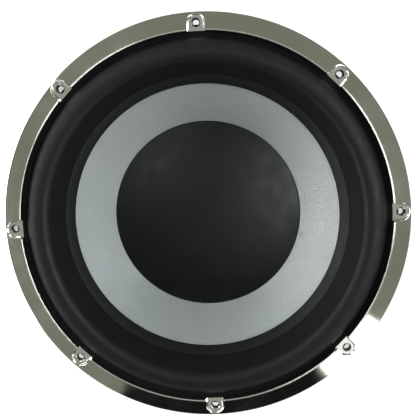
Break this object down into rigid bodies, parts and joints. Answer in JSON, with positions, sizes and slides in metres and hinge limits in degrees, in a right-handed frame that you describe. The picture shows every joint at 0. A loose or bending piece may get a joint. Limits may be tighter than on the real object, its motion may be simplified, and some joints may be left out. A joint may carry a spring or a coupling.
{
  "type": "car subwoofer speaker",
  "caption": "Round car subwoofer driver: chrome trim ring with recessed screw pads, black half-roll surround, silver woven cone, domed cap, steel basket, booted magnet.",
  "frame": {"origin": "centre of the magnet boot's resting face", "axes": "+Z along the driver's axis, out of the front; +Y towards one of the two terminal blocks"},
  "size_m": [0.316, 0.316, 0.1748],
  "materials": {
    "chrome": "bright chrome plating on moulded ABS",
    "boot_rubber": "satin moulded rubber",
    "surround_rubber": "satin moulded butyl rubber with fine dust",
    "silver_weave": "silver glass-fibre weave, diagonal, lightly coated",
    "cap_black": "satin moulded cap",
    "basket_black": "black powder coat with fine texture",
    "zinc_steel": "zinc-plated turned steel",
    "ferrite": "ground grey ferrite",
    "former_aluminium": "thin rolled sheet",
    "copper": "enamelled copper wire, stood in for by brass",
    "spider_cloth": "resin-stiffened cotton",
    "black_screw": "black oxide steel",
    "zinc_screw": "zinc-plated steel",
    "spring_steel": "drawn spring wire",
    "brass_post": "turned brass",
    "base_plastic": "moulded black ABS",
    "red_plastic": "moulded red ABS",
    "black_plastic": "moulded black ABS",
    "tinsel": "braided tinsel wire"
  },
  "bodies": {
    "frame": {"back_plate_and_pole": "zinc_steel", "basket": "basket_black", "basket_screw_1": "black_screw", "basket_screw_2": "black_screw", "basket_screw_3": "black_screw", "basket_screw_4": "black_screw", "basket_screw_5": "black_screw", "basket_screw_6": "black_screw", "magnet_boot": "boot_rubber", "magnet_lower": "ferrite", "magnet_upper": "ferrite", "spider": "spider_cloth", "surround": "surround_rubber", "terminal_base_a": "base_plastic", "terminal_base_b": "base_plastic", "terminal_post_negative_a": "brass_post", "terminal_post_negative_b": "brass_post", "terminal_post_positive_a": "brass_post", "terminal_post_positive_b": "brass_post", "terminal_screw_a_1": "zinc_screw", "terminal_screw_a_2": "zinc_screw", "terminal_screw_b_1": "zinc_screw", "terminal_screw_b_2": "zinc_screw", "terminal_spring_negative_a": "spring_steel", "terminal_spring_negative_b": "spring_steel", "terminal_spring_positive_a": "spring_steel", "terminal_spring_positive_b": "spring_steel", "tinsel_lead_negative_a": "tinsel", "tinsel_lead_negative_b": "tinsel", "tinsel_lead_positive_a": "tinsel", "tinsel_lead_positive_b": "tinsel", "top_plate": "zinc_steel", "trim_ring": "chrome"},
    "cone_assembly": {"cone": "silver_weave", "dust_cap": "cap_black", "voice_coil_former": "former_aluminium", "coil_inner": "copper", "coil_outer": "copper"},
    "push_cap_negative_a": {"push_cap_negative_a": "black_plastic"},
    "push_cap_negative_b": {"push_cap_negative_b": "black_plastic"},
    "push_cap_positive_a": {"push_cap_positive_a": "red_plastic"},
    "push_cap_positive_b": {"push_cap_positive_b": "red_plastic"}
  },
  "joints": [
    {"name": "cone_travel", "type": "slide", "parent": "frame", "child": "cone_assembly", "axis": [0, 0, 1], "range_m": [-0.012, 0.012], "stiffness_N_per_m": 6000, "deforming": ["surround", "spider", "tinsel_lead_negative_a", "tinsel_lead_negative_b", "tinsel_lead_positive_a", "tinsel_lead_positive_b"]},
    {"name": "push_cap_negative_a_press", "type": "slide", "parent": "frame", "child": "push_cap_negative_a", "axis": [0, -1, 0], "range_m": [0, 0.004], "stiffness_N_per_m": 400, "springref_m": -0.002, "deforming": ["terminal_spring_negative_a"]},
    {"name": "push_cap_negative_b_press", "type": "slide", "parent": "frame", "child": "push_cap_negative_b", "axis": [0, 1, 0], "range_m": [0, 0.004], "stiffness_N_per_m": 400, "springref_m": -0.002, "deforming": ["terminal_spring_negative_b"]},
    {"name": "push_cap_positive_a_press", "type": "slide", "parent": "frame", "child": "push_cap_positive_a", "axis": [0, -1, 0], "range_m": [0, 0.004], "stiffness_N_per_m": 400, "springref_m": -0.002, "deforming": ["terminal_spring_positive_a"]},
    {"name": "push_cap_positive_b_press", "type": "slide", "parent": "frame", "child": "push_cap_positive_b", "axis": [0, 1, 0], "range_m": [0, 0.004], "stiffness_N_per_m": 400, "springref_m": -0.002, "deforming": ["terminal_spring_positive_b"]}
  ]
}
